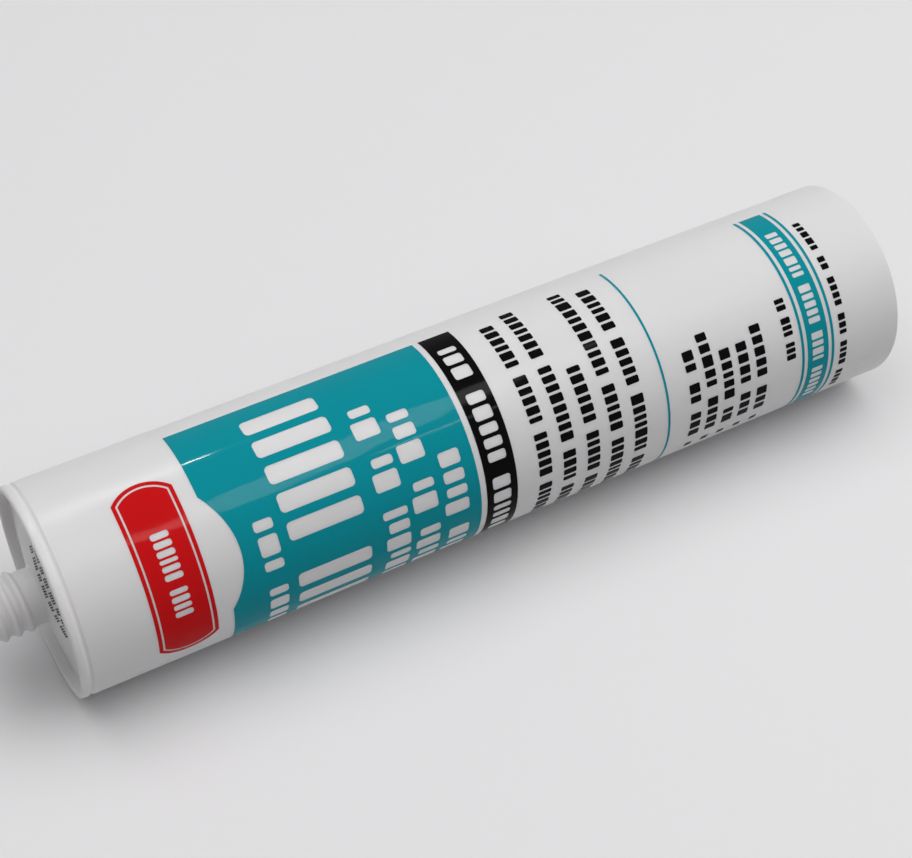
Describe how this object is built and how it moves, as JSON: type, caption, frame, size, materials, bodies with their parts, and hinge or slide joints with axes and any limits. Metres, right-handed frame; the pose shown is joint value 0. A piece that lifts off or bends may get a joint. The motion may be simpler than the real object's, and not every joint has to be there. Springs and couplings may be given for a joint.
{
  "type": "caulk tube",
  "caption": "Full sealant cartridge for a caulking gun: a moulded barrel with a recessed head and a closed threaded neck, paste inside and a sliding piston behind it.",
  "frame": {"origin": "middle of the open rear rim, on the plane that the cartridge stands on", "axes": "+Z along the barrel's axis towards the threaded neck, -Y out of the middle of the printed label"},
  "size_m": [0.05, 0.0501, 0.2334],
  "materials": {
    "shell": "satin white polyethylene",
    "piston_plastic": "natural polyethylene",
    "paste": "smooth wet paste",
    "teal_ink": "printed ink",
    "black_ink": "printed ink",
    "red_ink": "printed ink"
  },
  "bodies": {
    "tube": {"cartridge": "shell", "sealant": "paste", "teal_print": "teal_ink", "black_print": "black_ink", "red_print": "red_ink"},
    "piston": {"piston": "piston_plastic"}
  },
  "joints": [
    {"name": "piston_slide", "type": "slide", "parent": "tube", "child": "piston", "axis": [0, 0, 1], "range_m": [0, 0.174], "deforming": ["sealant"]}
  ]
}
